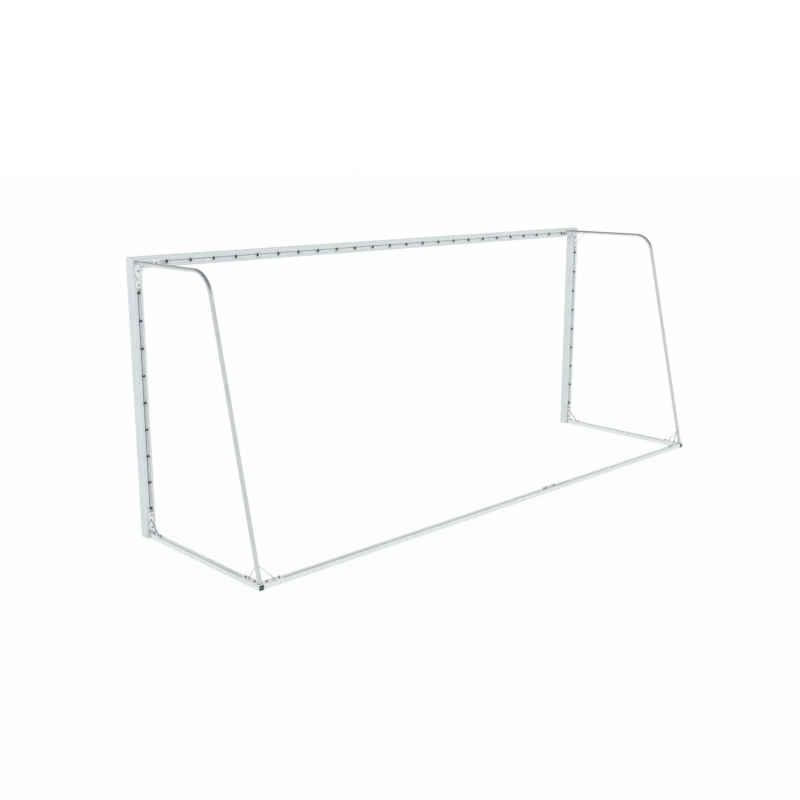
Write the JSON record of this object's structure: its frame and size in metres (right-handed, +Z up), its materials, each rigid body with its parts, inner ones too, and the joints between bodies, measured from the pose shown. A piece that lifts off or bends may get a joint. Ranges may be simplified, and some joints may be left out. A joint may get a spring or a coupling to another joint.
{
  "type": "ball goal frame",
  "caption": "Free-standing ball goal frame: mitred square posts and crossbar with net hooks in a rear groove, bent tube net arches and a bolted ground frame.",
  "frame": {"origin": "on the ground, under the centre of the outside box of the whole goal", "axes": "+X across the mouth towards the right post as a player facing the mouth sees it, +Y from the mouth towards the net, +Z up"},
  "size_m": [5.16, 1.455, 2.08],
  "materials": {
    "coated_aluminium": "smooth light grey-white coating on extruded aluminium",
    "cast_aluminium": "plain casting, hidden inside the corners",
    "galvanised_tube": "bright galvanised round tube",
    "galvanised_bar": "galvanised square tube",
    "galvanised_plate": "galvanised plate and rod, welded joints",
    "zinc_plated_steel": "zinc-plated flat bar with tapped holes",
    "hook_plastic": "black hooks moulded onto a grey strip",
    "black_plastic": "moulded black plastic"
  },
  "bodies": {
    "root": {"crossbar": "coated_aluminium", "post_left": "coated_aluminium", "post_right": "coated_aluminium", "corner_connector_left": "cast_aluminium", "corner_connector_right": "cast_aluminium", "arch_left": "galvanised_tube", "arch_right": "galvanised_tube", "side_bar_left": "galvanised_bar", "side_bar_right": "galvanised_bar", "rear_bar_left": "galvanised_bar", "rear_bar_right": "galvanised_bar", "splice_sleeve": "galvanised_bar", "arch_top_plate_left": "galvanised_plate", "arch_top_plate_right": "galvanised_plate", "arch_foot_plate_left": "galvanised_plate", "arch_foot_plate_right": "galvanised_plate", "splice_plate": "galvanised_plate", "base_bracket_left": "galvanised_plate", "base_bracket_right": "galvanised_plate", "base_stay_left": "galvanised_plate", "base_stay_right": "galvanised_plate", "arch_top_stay_post_left": "galvanised_plate", "arch_top_stay_post_right": "galvanised_plate", "arch_top_stay_crossbar_left": "galvanised_plate", "arch_top_stay_crossbar_right": "galvanised_plate", "arch_foot_stay_side_left": "galvanised_plate", "arch_foot_stay_side_right": "galvanised_plate", "arch_foot_stay_rear_left": "galvanised_plate", "arch_foot_stay_rear_right": "galvanised_plate", "tapped_bar_crossbar_left": "zinc_plated_steel", "tapped_bar_crossbar_right": "zinc_plated_steel", "tapped_bar_post_top_left": "zinc_plated_steel", "tapped_bar_post_top_right": "zinc_plated_steel", "tapped_bar_post_foot_left": "zinc_plated_steel", "tapped_bar_post_foot_right": "zinc_plated_steel", "hook_strip_crossbar": "hook_plastic", "hook_strip_post_left": "hook_plastic", "hook_strip_post_right": "hook_plastic", "post_plug_left": "black_plastic", "post_plug_right": "black_plastic", "end_cap_left": "black_plastic", "end_cap_right": "black_plastic"}
  },
  "joints": []
}
